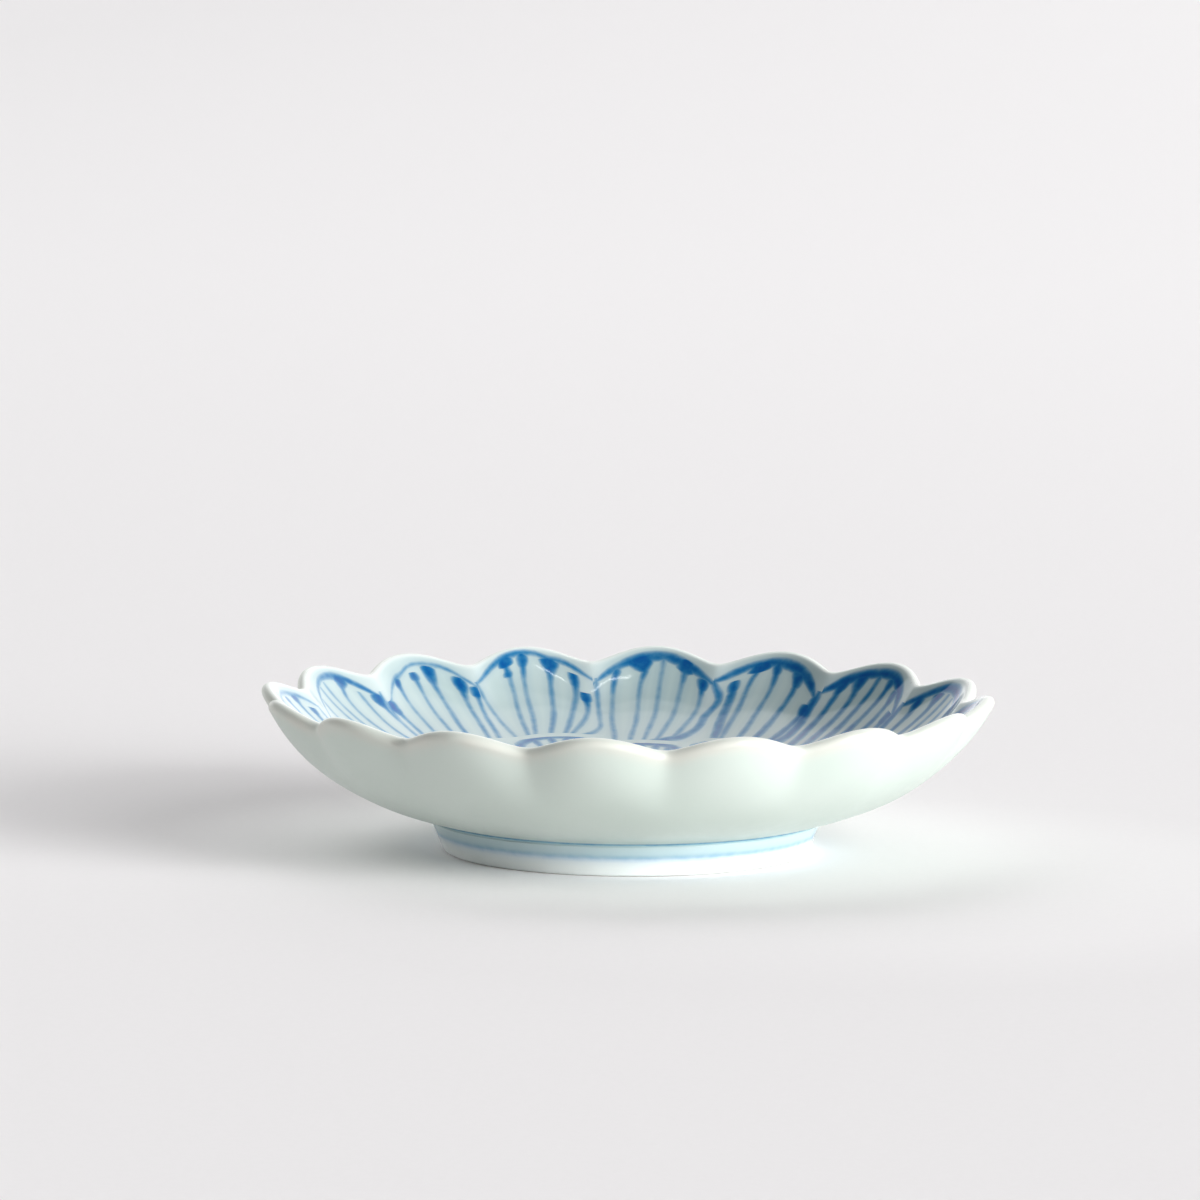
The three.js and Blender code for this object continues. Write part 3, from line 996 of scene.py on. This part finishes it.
@dataclass(frozen=True)
class BandedGlaze:
    """The foot's finish: white glaze with lines of cobalt at set heights, a washed band, and a bare edge below, whose
    rim is a dark brown line, partly painted contact shadow.
    """

    effects: GlazeEffects
    name: str
    lines: tuple[tuple[float, float, float], ...]
    wash: tuple[float, float, float]
    bare: tuple[float, float] | None = None
    body: Colour = srgb(240, 242, 241)
    tint: Colour = srgb(194, 216, 211)
    clay: Colour = srgb(232, 224, 212)
    # toasted clay brown: for the grain of the bare clay, and for the line where the glaze stops, which is partly
    # painted contact shadow
    toasted_and_contact_shade: Colour = srgb(168, 128, 98)
    depth: float = 0.45
    gloss: float = 0.08
    softness: float = 0.16
    waver: float = 0.26
    ripple: float = 0.06
    painted_from: float = 24.6

    def material(self) -> bpy.types.Material:
        """Builds the material, which reads heights and distances from the axis.

        Returns:
            The material.
        """
        made, sheet = new_material(self.name)
        place = sheet.place()
        across, along, up = sheet.parts(place)
        height = sheet.math("MULTIPLY", up, 1.0 / MM)
        squares = sheet.math("ADD", sheet.math("MULTIPLY", across, across), sheet.math("MULTIPLY", along, along))
        radius = sheet.math("MULTIPLY", sheet.math("SQRT", squares), 1.0 / MM)
        outside = sheet.rise(radius, self.painted_from - 0.3, self.painted_from + 0.3)
        low, high, washed = self.wash
        banded = sheet.math("MULTIPLY", sheet.rise(height, low - 0.3, low + 0.3),
                            sheet.rise(height, high - 0.3, high + 0.3, 1.0, 0.0))
        banded = sheet.math("MULTIPLY", banded, outside)
        ground = sheet.group(self.effects.ground, Place=place, Body=self.body, Tint=self.tint,
                             Depth=sheet.math("MULTIPLY_ADD", banded, 0.5, self.depth), Gloss=self.gloss)
        density = sheet.math("MULTIPLY", banded, washed)
        for middle, half, load in self.lines:
            reach = sheet.math("SUBTRACT", half, sheet.math("ABSOLUTE", sheet.math("SUBTRACT", height, middle)))
            stroke = sheet.group(self.effects.stroke, Place=place, Reach=reach, Load=load, Softness=self.softness,
                                 Waver=self.waver)
            density = sheet.math("MULTIPLY_ADD", stroke.outputs["Density"], outside, density)
        cobalt = sheet.group(self.effects.cobalt, Ground=ground.outputs["Colour"], Density=density)
        colour = cobalt.outputs["Colour"]
        roughness = ground.outputs["Roughness"]
        if self.bare is not None:
            inner, outer = self.bare
            uneven = sheet.math("SUBTRACT", sheet.noise(place, 1.8, 3.0), 0.5)
            shifted = sheet.math("MULTIPLY_ADD", uneven, 0.35, radius)
            low_down = sheet.rise(height, 0.25, 0.45, 1.0, 0.0)
            clear = sheet.math("MINIMUM", sheet.math("SUBTRACT", shifted, inner),
                               sheet.math("SUBTRACT", outer, shifted))
            unglazed = sheet.math("MULTIPLY", sheet.rise(clear, -0.05, 0.05), low_down)
            # the line where the glaze stops: partly toasted clay, partly painted contact shadow where the foot meets
            # the table
            edge = sheet.math("MULTIPLY", sheet.rise(sheet.math("ABSOLUTE", clear), 0.05, 0.28, 1.0, 0.0), low_down)
            grain = sheet.rise(sheet.noise(place, 0.35, 2.0), 0.3, 0.7, 0.0, 0.35)
            clay = sheet.mix(grain, self.clay, self.toasted_and_contact_shade)
            colour = sheet.mix(unglazed, colour, clay)
            colour = sheet.mix(sheet.math("MULTIPLY", edge, 0.75), colour, self.toasted_and_contact_shade)
            roughness = sheet.math("MAXIMUM", roughness, sheet.math("MULTIPLY", unglazed, 0.85))
        glazed_surface(sheet, colour, roughness, ground.outputs["Ripple"], self.ripple)
        return made


@dataclass(frozen=True)
class FloorPaper:
    """The floor's finish: pale matt paper, painted a little lighter towards the back and the right as painted light,
    and beside the dish as a painted pool of light.

    The painted pool of light beside the dish, for light that the glaze throws onto the floor, is light within its
    first radius and ends at its second, in metres.
    """

    # near is the paper's colour; far is the same paper painted lighter, as painted light towards the back and the
    # right
    near: Colour = srgb(242, 240, 241)
    far: Colour = srgb(253, 251, 252)
    fibres: Colour = srgb(190, 188, 186)
    # painted pool of light beside the dish: its centre to the right and ahead, its two radii and its share
    painted_glow_right: float = 0.03
    painted_glow_ahead: float = 0.025
    painted_glow: tuple[float, float] = (0.025, 0.095)
    painted_glow_share: float = 0.95

    def material(self) -> bpy.types.Material:
        """Builds the material.

        Returns:
            The material.
        """
        made, sheet = new_material("floor_paper")
        place = sheet.place()
        across, along, _ = sheet.parts(place)
        # painted light: the paper turns lighter towards the back and the right, and beside the dish as a painted pool
        # of light
        back = sheet.rise(along, -0.3, 1.2, 0.0, 0.9)
        way = sheet.node("ShaderNodeMath", operation="MULTIPLY_ADD", use_clamp=True)
        aside = sheet.math("SUBTRACT", across, self.painted_glow_right)
        ahead = sheet.math("ADD", along, self.painted_glow_ahead)
        apart = sheet.math("SQRT", sheet.math("MULTIPLY_ADD", aside, aside, sheet.math("MULTIPLY", ahead, ahead)))
        beside = sheet.rise(apart, *self.painted_glow, self.painted_glow_share, 0.0)
        for target, source in zip(way.inputs, (across, 1.6, sheet.math("MAXIMUM", back, beside))):
            sheet.feed(target, source)
        paper_with_painted_light = sheet.mix(way.outputs[0], self.near, self.far)
        fibre = sheet.rise(sheet.noise(place, 1.2, 3.0), 0.3, 0.7, 0.0, 0.02)
        shader = sheet.node("ShaderNodeBsdfPrincipled")
        shader.inputs["Specular IOR Level"].default_value = 0.1
        shader.inputs["Roughness"].default_value = 0.9
        sheet.feed(shader.inputs["Base Color"], sheet.mix(fibre, paper_with_painted_light, self.fibres))
        output = sheet.node("ShaderNodeOutputMaterial")
        sheet.feed(output.inputs["Surface"], shader.outputs["BSDF"])
        return made


# Pieces of the dish

@dataclass
class PetalBowl:
    """The moulded bowl: a wall pressed into petals, with a scalloped lip and a flat-bottomed well."""

    petals: int = 16
    rim_radius: float = 49.98
    height: float = 21.89
    notch_inset: float = 2.7
    notch_drop: float = 1.95
    lip_thickness: float = 1.8
    floor_thickness: float = 3.1
    well_blend: float = 9.0
    rise_at_foot: float = math.radians(13)
    rise_at_rim: float = math.radians(63)
    fullness_at_foot: float = 15.4
    fullness_at_rim: float = 5.3
    foot_radius: float = 26.6
    foot_height: float = 4.6
    crease_at_rim: float = 0.13
    crease_at_foot: float = 1.4
    dip_at_rim: float = 0.34
    columns: int = 36
    base_rows: int = 5
    wall_rows: int = 34
    lip_rows: int = 12
    inner_rows: int = 62
    blend_rows: int = 14
    well_rows: int = 26

    def section(self, inset: float, drop: float) -> Array:
        """Half section of the bowl, from the axis underneath over the lip to the axis above.

        The outer wall is a cubic Bezier from the foot to the lip. The inner wall lies along its normals at a
        thickness that falls evenly to the lip's, a half circle makes the lip, and a quadratic Bezier the edge of the
        well.

        Args:
            inset: How far the lip stands in from its place at a petal's tip.
            drop: How far it lies below it.

        Returns:
            One row of radius and height for each row of the grid.
        """
        lip = self.lip_thickness / 2.0
        centre = np.array([self.rim_radius - lip - inset, self.height - lip - drop])
        foot = np.array([self.foot_radius, self.foot_height])
        along_foot = np.array([math.cos(self.rise_at_foot), math.sin(self.rise_at_foot)])
        along_rim = np.array([math.cos(self.rise_at_rim), math.sin(self.rise_at_rim)])
        under_lip = centre + lip * np.array([along_rim[1], -along_rim[0]])
        controls = [tuple(foot), tuple(foot + self.fullness_at_foot * along_foot),
                    tuple(under_lip - self.fullness_at_rim * along_rim), tuple(under_lip)]
        outer = bezier(controls, np.linspace(0.0, 1.0, self.wall_rows))

        share = np.linspace(1.0, 0.0, self.inner_rows)
        steps = np.diff(np.array(controls), axis=0)
        slope = bezier([tuple(step) for step in steps], share)
        slope = slope / np.linalg.norm(slope, axis=1, keepdims=True)
        at_foot = (self.floor_thickness + self.well_blend / 2.0 * math.tan(self.rise_at_foot))
        at_foot = at_foot / math.cos(self.rise_at_foot)
        thickness = at_foot + (self.lip_thickness - at_foot) * share[:, None]
        inner = bezier(controls, share) + thickness * np.stack([-slope[:, 1], slope[:, 0]], axis=1)

        round_lip = np.linspace(0.0, np.pi, self.lip_rows + 2)[1:-1] + self.rise_at_rim - np.pi / 2.0
        over_lip = centre + lip * np.stack([np.cos(round_lip), np.sin(round_lip)], axis=1)
        edge = tuple(inner[-1])
        floor = self.foot_height + self.floor_thickness
        well_edge = (edge[0] - self.well_blend, floor)
        blend = bezier([edge, (edge[0] - self.well_blend / 2.0, floor), well_edge],
                       np.linspace(0.0, 1.0, self.blend_rows + 1)[1:])
        base = straight((0.0, self.foot_height), tuple(foot), np.linspace(0.0, 1.0, self.base_rows + 1)[:-1])
        well = straight(well_edge, (0.0, floor), np.linspace(0.0, 1.0, self.well_rows + 1)[1:])
        return np.vstack([base, outer, over_lip, inner, blend, well])

    def columns_across(self) -> Array:
        """Places across a petal from -0.5 to 0.5, closer together towards its creases."""
        even = np.linspace(-0.5, 0.5, self.columns + 1)
        return even + 0.45 * np.sin(2.0 * np.pi * even) / (2.0 * np.pi)

    def arch(self, across: Array, height: Array, at_rim: float) -> Array:
        """Share of the way from a notch to a petal's tip: the upper half of a cosine, with its crease softened.

        With a softness s of the crease, which grows from the lip to the foot, it is (|cos, s| - s) / (|1, s| - s).

        Args:
            across: Share of the petal's width of each column.
            height: Height of each row at a petal's tip.
            at_rim: Softness at the lip.

        Returns:
            Shares by row and column.
        """
        fall = (self.height - height) / (self.height - self.foot_height)
        crease = (at_rim + (self.crease_at_foot - at_rim) * fall)[:, None]
        wave = np.cos(np.pi * across)[None, :]
        return (np.hypot(wave, crease) - crease) / (np.hypot(1.0, crease) - crease)

    def surface(self) -> Array:
        """The bowl's grid: the section swings between the one through a tip and the one through a notch.

        The wall steps in at a sharper crease than the one by which the rim dips.

        Returns:
            Rows by columns by place.
        """
        across = self.columns_across()[:-1]
        tip = self.section(0.0, 0.0)
        notch = self.section(self.notch_inset, self.notch_drop)
        shares = [self.arch(across, tip[:, 1], softness) for softness in (self.crease_at_rim, self.dip_at_rim)]
        swung = notch[:, None, :] + (tip - notch)[:, None, :] * np.stack(shares, axis=-1)
        radius, height = np.moveaxis(np.tile(swung, (1, self.petals, 1)), -1, 0)
        angle = (np.arange(self.petals)[:, None] + across[None, :]).ravel() * 2.0 * np.pi / self.petals
        return np.stack([radius * np.sin(angle), -radius * np.cos(angle), height], axis=-1)

    def glaze(self, across: Array, down: Array, radius: Array) -> Array:
        """Depth of the glaze, whether a point is inside, and how bare the lip's edge is.

        The glaze thins over the lip and on the creases inside, and gathers in the well and above the foot. The clay
        shows through along the top of the lip, as a bell curve across it.

        Args:
            across: Share of the petal's width of each column.
            down: Distance below the lip of each row, less than zero outside.
            radius: Distance of each row from the axis.

        Returns:
            Depth, inside share and bareness, by row, petal and column.
        """
        within = ease(down, -1.3, 0.4)[:, None]
        crease = ease(np.abs(across), 0.32, 0.5)[None, :] * ease(radius, 30.0, 46.0)[:, None]
        past_lip = np.where(down < -0.9, (-0.9 - down) / 0.35, (down + 0.75) / 0.6)
        lip = np.exp(-np.clip(past_lip, 0.0, None) ** 2)[:, None]
        inside = 0.83 + 0.12 * ease(down, 14.0, 34.0)[:, None] - 0.15 * crease
        outside = 0.86 + 0.08 * ease(-radius, -34.0, -27.0)[:, None]
        depth = (outside * (1.0 - within) + inside * within) * (1.0 - 0.45 * lip)
        depth = np.broadcast_to(depth[:, None, :], (len(down), self.petals, len(across)))
        share = np.broadcast_to(within[:, None, :], depth.shape)
        bare = np.broadcast_to(np.exp(-((down + 2.4) / 1.3) ** 2)[:, None, None], depth.shape)
        return np.stack([depth, share, bare], axis=-1)

    def build(self) -> bpy.types.Object:
        """Builds the bowl's mesh and keeps the glaze and the painting on its corners.

        Returns:
            The bowl.
        """
        piece = turned_mesh("bowl_of_petals", self.surface(), Ends.POLES)
        tip = self.section(0.0, 0.0)
        walked = np.concatenate([[0.0], np.cumsum(np.linalg.norm(np.diff(tip, axis=0), axis=1))])
        lip_end = self.base_rows + self.wall_rows + self.lip_rows
        down = walked - walked[lip_end]
        across = -self.columns_across()
        fields = PetalPainting(petals=self.petals).fields(across, down, tip[:, 0])
        fields["glaze"] = self.glaze(across, down, tip[:, 0])
        numbers = np.arange(len(down) * self.petals * (self.columns + 1))
        numbers = numbers.reshape(len(down), self.petals, self.columns + 1)
        left = numbers[:, :, :-1].reshape(len(down), -1)
        right = numbers[:, :, 1:].reshape(len(down), -1)
        corners = np.concatenate([block.ravel() for block in ring_faces(left, right, Ends.POLES)])
        for name, values in fields.items():
            keep_on_corners(piece, name, values.reshape(-1, 3)[corners])
        return piece

    def dress(self, piece: bpy.types.Object, effects: GlazeEffects) -> None:
        """Glazes the bowl and puts it in the CAD bowl's place."""
        piece.data.materials.append(PaintedGlaze(effects).material())
        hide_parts("petal_bowl")
        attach(piece, "root")


@dataclass
class FootRing:
    """The plain ring that the bowl stands on, rounded in towards the narrow bare face on the table."""

    radius: float = 26.6
    height: float = 4.6
    width: float = 5.0
    taper_outside: float = 1.7
    taper_inside: float = 0.5
    rounded: float = 0.45
    slip: float = 0.4
    columns: int = 288

    def section(self) -> Array:
        """Closed section of the ring, from the table up the outside, over the top and down the inside.

        Both edges at the table are quadratic Beziers, and the runs between are straight.

        Returns:
            One row of radius and height for each point.
        """
        top = self.height - self.slip
        inside = self.radius - self.width
        outside_foot = self.radius - self.taper_outside
        inside_foot = inside + self.taper_inside
        up = self.rounded / top
        outside_round = (outside_foot + self.taper_outside * up, self.rounded)
        inside_round = (inside_foot - self.taper_inside * up, self.rounded)
        contact = (inside_foot + self.rounded, 0.0), (outside_foot - self.rounded, 0.0)
        near_corner = np.array([0.0, 0.02, 0.06, 0.2, 0.4, 0.6, 0.8, 0.94, 0.98])
        rounding = np.linspace(0.0, 1.0, 11)[:-1]
        return np.vstack([
            bezier([contact[1], (outside_foot, 0.0), outside_round], rounding),
            straight(outside_round, (self.radius, top), near_corner),
            straight((self.radius, top), (inside, top), near_corner),
            straight((inside, top), inside_round, near_corner),
            bezier([inside_round, (inside_foot, 0.0), contact[0]], rounding),
            straight(contact[0], contact[1], near_corner),
        ])

    def build(self) -> bpy.types.Object:
        """Builds the ring's mesh."""
        return turned_mesh("foot_ring_glazed", turn(self.section(), self.columns), Ends.JOINED)

    def dress(self, piece: bpy.types.Object, effects: GlazeEffects) -> None:
        """Glazes the ring and puts it in the CAD ring's place."""
        finish = BandedGlaze(effects, "foot_glaze", lines=((2.6, 0.22, 0.34),), wash=(2.6, 5.0, 0.11),
                             bare=(22.5, 24.55), depth=0.25, softness=0.5)
        piece.data.materials.append(finish.material())
        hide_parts("foot_ring")
        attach(piece, "root")


@dataclass
class SlipSeam:
    """The seam of slip between the ring and the bowl, with a small hollow fillet on each side."""

    radius: float = 26.6
    height: float = 4.6
    width: float = 5.0
    thickness: float = 0.4
    bowl_rise: float = math.radians(13.0)
    fillet: float = 0.3
    foot_lean: float = 0.405
    tucked: float = 0.08
    columns: int = 288

    def section(self) -> Array:
        """Closed section of the seam: outer fillet, the top in the bowl, inner fillet and the foot in the ring.

        Each fillet is a quadratic Bezier from the ring's side to the bowl's underside.

        Returns:
            One row of radius and height for each point.
        """
        share = np.linspace(0.0, 1.0, 8)
        inside = self.radius - self.width
        low = self.height - self.thickness - self.fillet
        rise = math.tan(self.bowl_rise) * self.fillet
        outer = bezier([(self.radius - self.foot_lean * self.fillet - 0.03, low), (self.radius, self.height),
                        (self.radius + self.fillet, self.height + rise + 0.02)], share)
        inner = bezier([(inside - self.fillet, self.height + 0.01), (inside, self.height),
                        (inside + 0.05, low)], share)
        buried = self.height + self.tucked
        return np.vstack([
            outer,
            straight((self.radius, buried + 0.04), (inside - 0.2, buried), share[1:-1]),
            inner,
            straight((inside + 0.3, low + 0.2), (self.radius - 0.3, low + 0.2), share[1:-1]),
        ])

    def build(self) -> bpy.types.Object:
        """Builds the seam's mesh."""
        return turned_mesh("slip_seam", turn(self.section(), self.columns), Ends.JOINED)

    def dress(self, piece: bpy.types.Object, effects: GlazeEffects) -> None:
        """Glazes the seam and puts it in the CAD slip's place."""
        finish = BandedGlaze(effects, "seam_glaze", lines=((4.55, 0.04, 1.1),), wash=(2.6, 5.0, 0.06), depth=0.6,
                             softness=0.12, waver=0.1)
        piece.data.materials.append(finish.material())
        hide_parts("luting_slip")
        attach(piece, "root")


# Floor, lamps and camera

@dataclass(frozen=True)
class Lamp:
    """A soft lamp that lights from a direction: turned from the front towards the right, and raised, in degrees.

    A lamp that is not mirrored stands for light off a matt wall, which leaves no sheen on the glaze.
    """

    name: str
    turned: float
    raised: float
    strength: float
    spread: float
    mirrored: bool = True

    def build(self) -> None:
        """Puts the lamp in the scene."""
        data = bpy.data.lights.new(self.name, "SUN")
        data.energy = self.strength * math.pi
        data.angle = math.radians(self.spread)
        lamp = bpy.data.objects.new(self.name, data)
        lamp.rotation_euler = direction(self.turned, self.raised).to_track_quat("Z", "Y").to_euler()
        lamp.visible_glossy = self.mirrored
        bpy.context.scene.collection.objects.link(lamp)


@dataclass(frozen=True)
class StripLamp:
    """A narrow lamp overhead, which shows as thin bright arcs in the glaze: its place and sizes in metres."""

    name: str
    place: tuple[float, float, float]
    turned: float
    long: float = 0.17
    wide: float = 0.012
    watts: float = 0.08

    def build(self) -> None:
        """Puts the lamp in the scene, facing down."""
        data = bpy.data.lights.new(self.name, "AREA")
        data.shape = "RECTANGLE"
        data.size = self.long
        data.size_y = self.wide
        data.energy = self.watts
        lamp = bpy.data.objects.new(self.name, data)
        lamp.location = self.place
        lamp.rotation_euler = (0.0, 0.0, math.radians(self.turned))
        bpy.context.scene.collection.objects.link(lamp)


@dataclass(frozen=True)
class Camera:
    """The photograph's point of view: a long lens, low over the table and a little to the right of the front."""

    turned: float = 4.935
    raised: float = 8.646
    distance: float = 0.9804
    lens: float = 215.6
    aim_up: float = 1.981
    aim_left: float = 0.219
    roll: float = 0.455

    def build(self) -> None:
        """Puts the camera in the scene and looks through it."""
        back = direction(self.turned, self.raised)
        right = direction(self.turned + 90.0, 0.0)
        over = back.cross(right)
        roll = math.radians(self.roll)
        level = right * math.cos(roll) + over * math.sin(roll)
        ahead = -back - right * math.tan(math.radians(self.aim_left)) + over * math.tan(math.radians(self.aim_up))
        ahead.normalize()
        level = (level - ahead * level.dot(ahead)).normalized()
        upright = level.cross(ahead)
        data = bpy.data.cameras.new("camera")
        data.lens = self.lens
        data.sensor_width = 36.0
        data.sensor_fit = "HORIZONTAL"
        data.clip_start = 0.01
        data.clip_end = 200.0
        camera = bpy.data.objects.new("camera", data)
        turning = Matrix((level, upright, -ahead)).transposed().to_4x4()
        camera.matrix_world = Matrix.Translation(back * self.distance) @ turning
        bpy.context.scene.collection.objects.link(camera)
        bpy.context.scene.camera = camera


@dataclass
class Studio:
    """The plain floor, the soft lamps and the room's light round them.

    Each pair is where the ceiling, the right-hand room, the back room and the low and far backdrop begin, as parts of
    a direction's length.
    """

    floor_size: float = 60.0
    room: float = 0.03
    backdrop: Colour = srgb(236, 234, 235)
    overhead: Colour = (1.0, 1.0, 1.0, 1.0)
    shade: Colour = srgb(30, 30, 31)
    ceiling_from: tuple[float, float] = (0.6, 0.85)
    right_from: tuple[float, float] = (-0.4, -0.3)
    back_from: tuple[float, float] = (0.17, 0.2)
    low_until: tuple[float, float] = (0.1, 0.3)
    far_from: tuple[float, float] = (0.5, 0.7)
    lamps: tuple[Lamp, ...] = (
        Lamp("window", turned=60.0, raised=8.0, strength=1.43, spread=32.0),
        Lamp("window_top", turned=60.0, raised=26.0, strength=0.42, spread=36.0),
        Lamp("left_wall", turned=-85.0, raised=25.0, strength=0.22, spread=80.0, mirrored=False),
        Lamp("back_left", turned=-140.0, raised=25.0, strength=0.44, spread=80.0, mirrored=False),
        Lamp("back_wall", turned=180.0, raised=30.0, strength=0.38, spread=80.0),
    )
    strip: StripLamp = StripLamp("ceiling_strip", place=(0.155, -0.09, 0.8), turned=-8.0)

    def build(self) -> None:
        """Builds the floor and the lamps and sets the world."""
        half = self.floor_size / 2.0
        mesh = bpy.data.meshes.new("floor")
        mesh.from_pydata([(-half, -half, 0.0), (half, -half, 0.0), (half, half, 0.0), (-half, half, 0.0)], [],
                         [(0, 1, 2, 3)])
        floor = bpy.data.objects.new("floor", mesh)
        floor.data.materials.append(FloorPaper().material())
        bpy.context.scene.collection.objects.link(floor)
        for lamp in (*self.lamps, self.strip):
            lamp.build()
        self.set_world()
        Camera().build()

    def set_world(self) -> None:
        """Fills the room with a weak even light, which shows as walls and a ceiling where it is seen or mirrored."""
        world = bpy.data.worlds.new("room")
        world.use_nodes = True
        sheet = NodeSheet(world.node_tree)
        path = sheet.node("ShaderNodeLightPath")
        seen = sheet.math("MAXIMUM", path.outputs["Is Camera Ray"], path.outputs["Is Glossy Ray"])
        seen = sheet.math("MAXIMUM", seen, path.outputs["Is Transmission Ray"])
        dim = tuple(self.room * part for part in self.backdrop[:3]) + (1.0,)
        right, back, up = sheet.parts(sheet.node("ShaderNodeTexCoord").outputs["Generated"])
        around = sheet.mix(sheet.rise(up, *self.ceiling_from), self.backdrop, self.overhead)
        bright = sheet.math("MULTIPLY", sheet.rise(back, *self.back_from), sheet.rise(right, *self.right_from))
        behind = sheet.rise(up, *self.low_until, 1.0, 0.0)
        bright = sheet.math("MAXIMUM", bright, sheet.math("MULTIPLY", behind, sheet.rise(back, *self.far_from)))
        around = sheet.mix(bright, self.shade, around)
        light = sheet.node("ShaderNodeBackground")
        sheet.feed(light.inputs["Color"], sheet.mix(seen, dim, around))
        output = sheet.node("ShaderNodeOutputWorld")
        sheet.feed(output.inputs["Surface"], light.outputs["Background"])
        bpy.context.scene.world = world


def main() -> None:
    """Builds the studio and the pieces of the dish in order."""
    logging.basicConfig(level=logging.INFO, format="%(name)s: %(message)s")
    bpy.context.scene.view_settings.view_transform = "Standard"
    Studio().build()
    effects = GlazeEffects.make()
    for part in (PetalBowl(), FootRing(), SlipSeam()):
        piece = part.build()
        part.dress(piece, effects)
        log.info("%s has %d faces", piece.name, len(piece.data.polygons))


if __name__ == "__main__":
    main()
